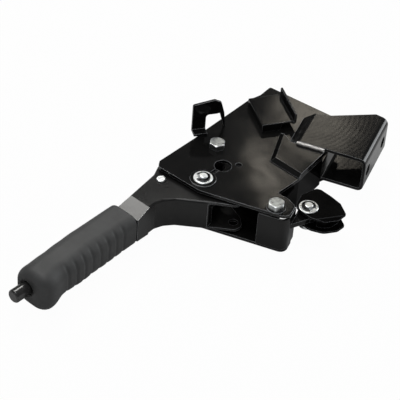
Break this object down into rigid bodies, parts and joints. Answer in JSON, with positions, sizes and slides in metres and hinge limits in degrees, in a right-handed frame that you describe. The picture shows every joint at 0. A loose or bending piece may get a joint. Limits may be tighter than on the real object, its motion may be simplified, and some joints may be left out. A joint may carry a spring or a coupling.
{
  "type": "parking brake lever",
  "caption": "Hand parking brake lever: black steel ratchet housing with flanged base bracket, pivoting lever with ribbed rubber grip, push-button release, pawl and swivelling cable guide.",
  "frame": {"origin": "midway between the two bolt holes of the base flange, on the flange's outer face", "axes": "+X out of the base flange, towards what it is bolted to; +Y along the flange, away from the grip; +Z along the lever's pivot, towards the side with the bolt heads"},
  "size_m": [0.2258, 0.3395, 0.077],
  "materials": {
    "black_paint": "semi-gloss black paint on pressed steel",
    "grip_rubber": "satin dark grey rubber",
    "zinc": "bright zinc plate",
    "plain_steel": "plain oiled steel",
    "button_plastic": "glossy dark plastic"
  },
  "bodies": {
    "housing": {"upper_side_plate": "black_paint", "lower_side_plate": "black_paint", "side_wall": "black_paint", "corner_panel": "black_paint", "doubler_plate": "black_paint", "base_bracket": "black_paint", "bracket_weld": "plain_steel", "switch_bracket": "black_paint", "loop_bracket": "black_paint", "ratchet_sector": "plain_steel", "spacer_tubes": "plain_steel", "body_bolts": "zinc", "body_nuts": "zinc", "corner_washer": "black_paint", "pivot_bosses": "black_paint", "pivot_pin": "zinc", "pivot_washer": "zinc", "pivot_clip": "black_paint", "guide_bush": "plain_steel", "guide_pin": "zinc", "guide_washer": "zinc", "guide_clip": "black_paint"},
    "lever": {"lever_arm": "black_paint", "lever_bushes": "plain_steel", "lever_tube": "plain_steel", "grip": "grip_rubber", "button_guide": "plain_steel", "spring_seat": "plain_steel", "button_spring": "plain_steel", "pawl_pin": "zinc", "pawl_collars": "plain_steel"},
    "button": {"release_button": "button_plastic", "push_rod": "plain_steel"},
    "pawl": {"pawl": "plain_steel"},
    "guide": {"cable_guide": "black_paint"}
  },
  "joints": [
    {"name": "lever_pivot", "type": "hinge", "parent": "housing", "child": "lever", "pos_m": [-0.125, -0.1115, -0.01], "axis": [0, 0, 1], "range_deg": [-45, 0]},
    {"name": "button_slide", "type": "slide", "parent": "lever", "child": "button", "axis": [0.3502, 0.9367, 0], "range_m": [0, 0.004], "stiffness_N_per_m": 500, "springref_m": -0.012, "deforming": ["button_spring"]},
    {"name": "pawl_pivot", "type": "hinge", "parent": "lever", "child": "pawl", "pos_m": [-0.16, -0.1227, -0.01], "axis": [0, 0, 1], "range_deg": [0, 20.1]},
    {"name": "guide_swivel", "type": "hinge", "parent": "housing", "child": "guide", "pos_m": [-0.031, -0.096, -0.01], "axis": [0, 0, 1], "range_deg": [-12, 12]}
  ],
  "couplings": [
    {"joint": "pawl_pivot", "follows": "button_slide", "rad_per_m": 87.266}
  ]
}
